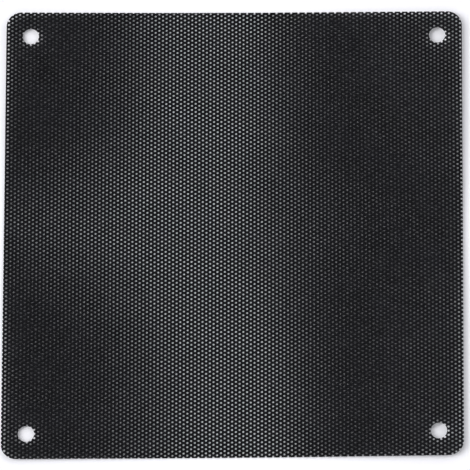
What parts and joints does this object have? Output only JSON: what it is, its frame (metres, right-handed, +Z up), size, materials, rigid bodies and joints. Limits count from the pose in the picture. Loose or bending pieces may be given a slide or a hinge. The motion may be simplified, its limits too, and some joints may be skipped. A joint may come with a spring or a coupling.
{
  "type": "fan dust filter",
  "caption": "Square black perforated sheet that keeps dust out of a case fan, with a screw hole in each corner and a slight curl.",
  "frame": {"origin": "centre of the underside, on the surface the sheet rests on", "axes": "+Z up out of the sheet's outer face, +X towards the right edge and +Y towards the top edge in the picture"},
  "size_m": [0.14, 0.14, 0.0019],
  "materials": {
    "black_pvc": "soft black PVC, satin on the crowned webs, finely mottled"
  },
  "bodies": {
    "root": {"filter_sheet": "black_pvc"}
  },
  "joints": []
}
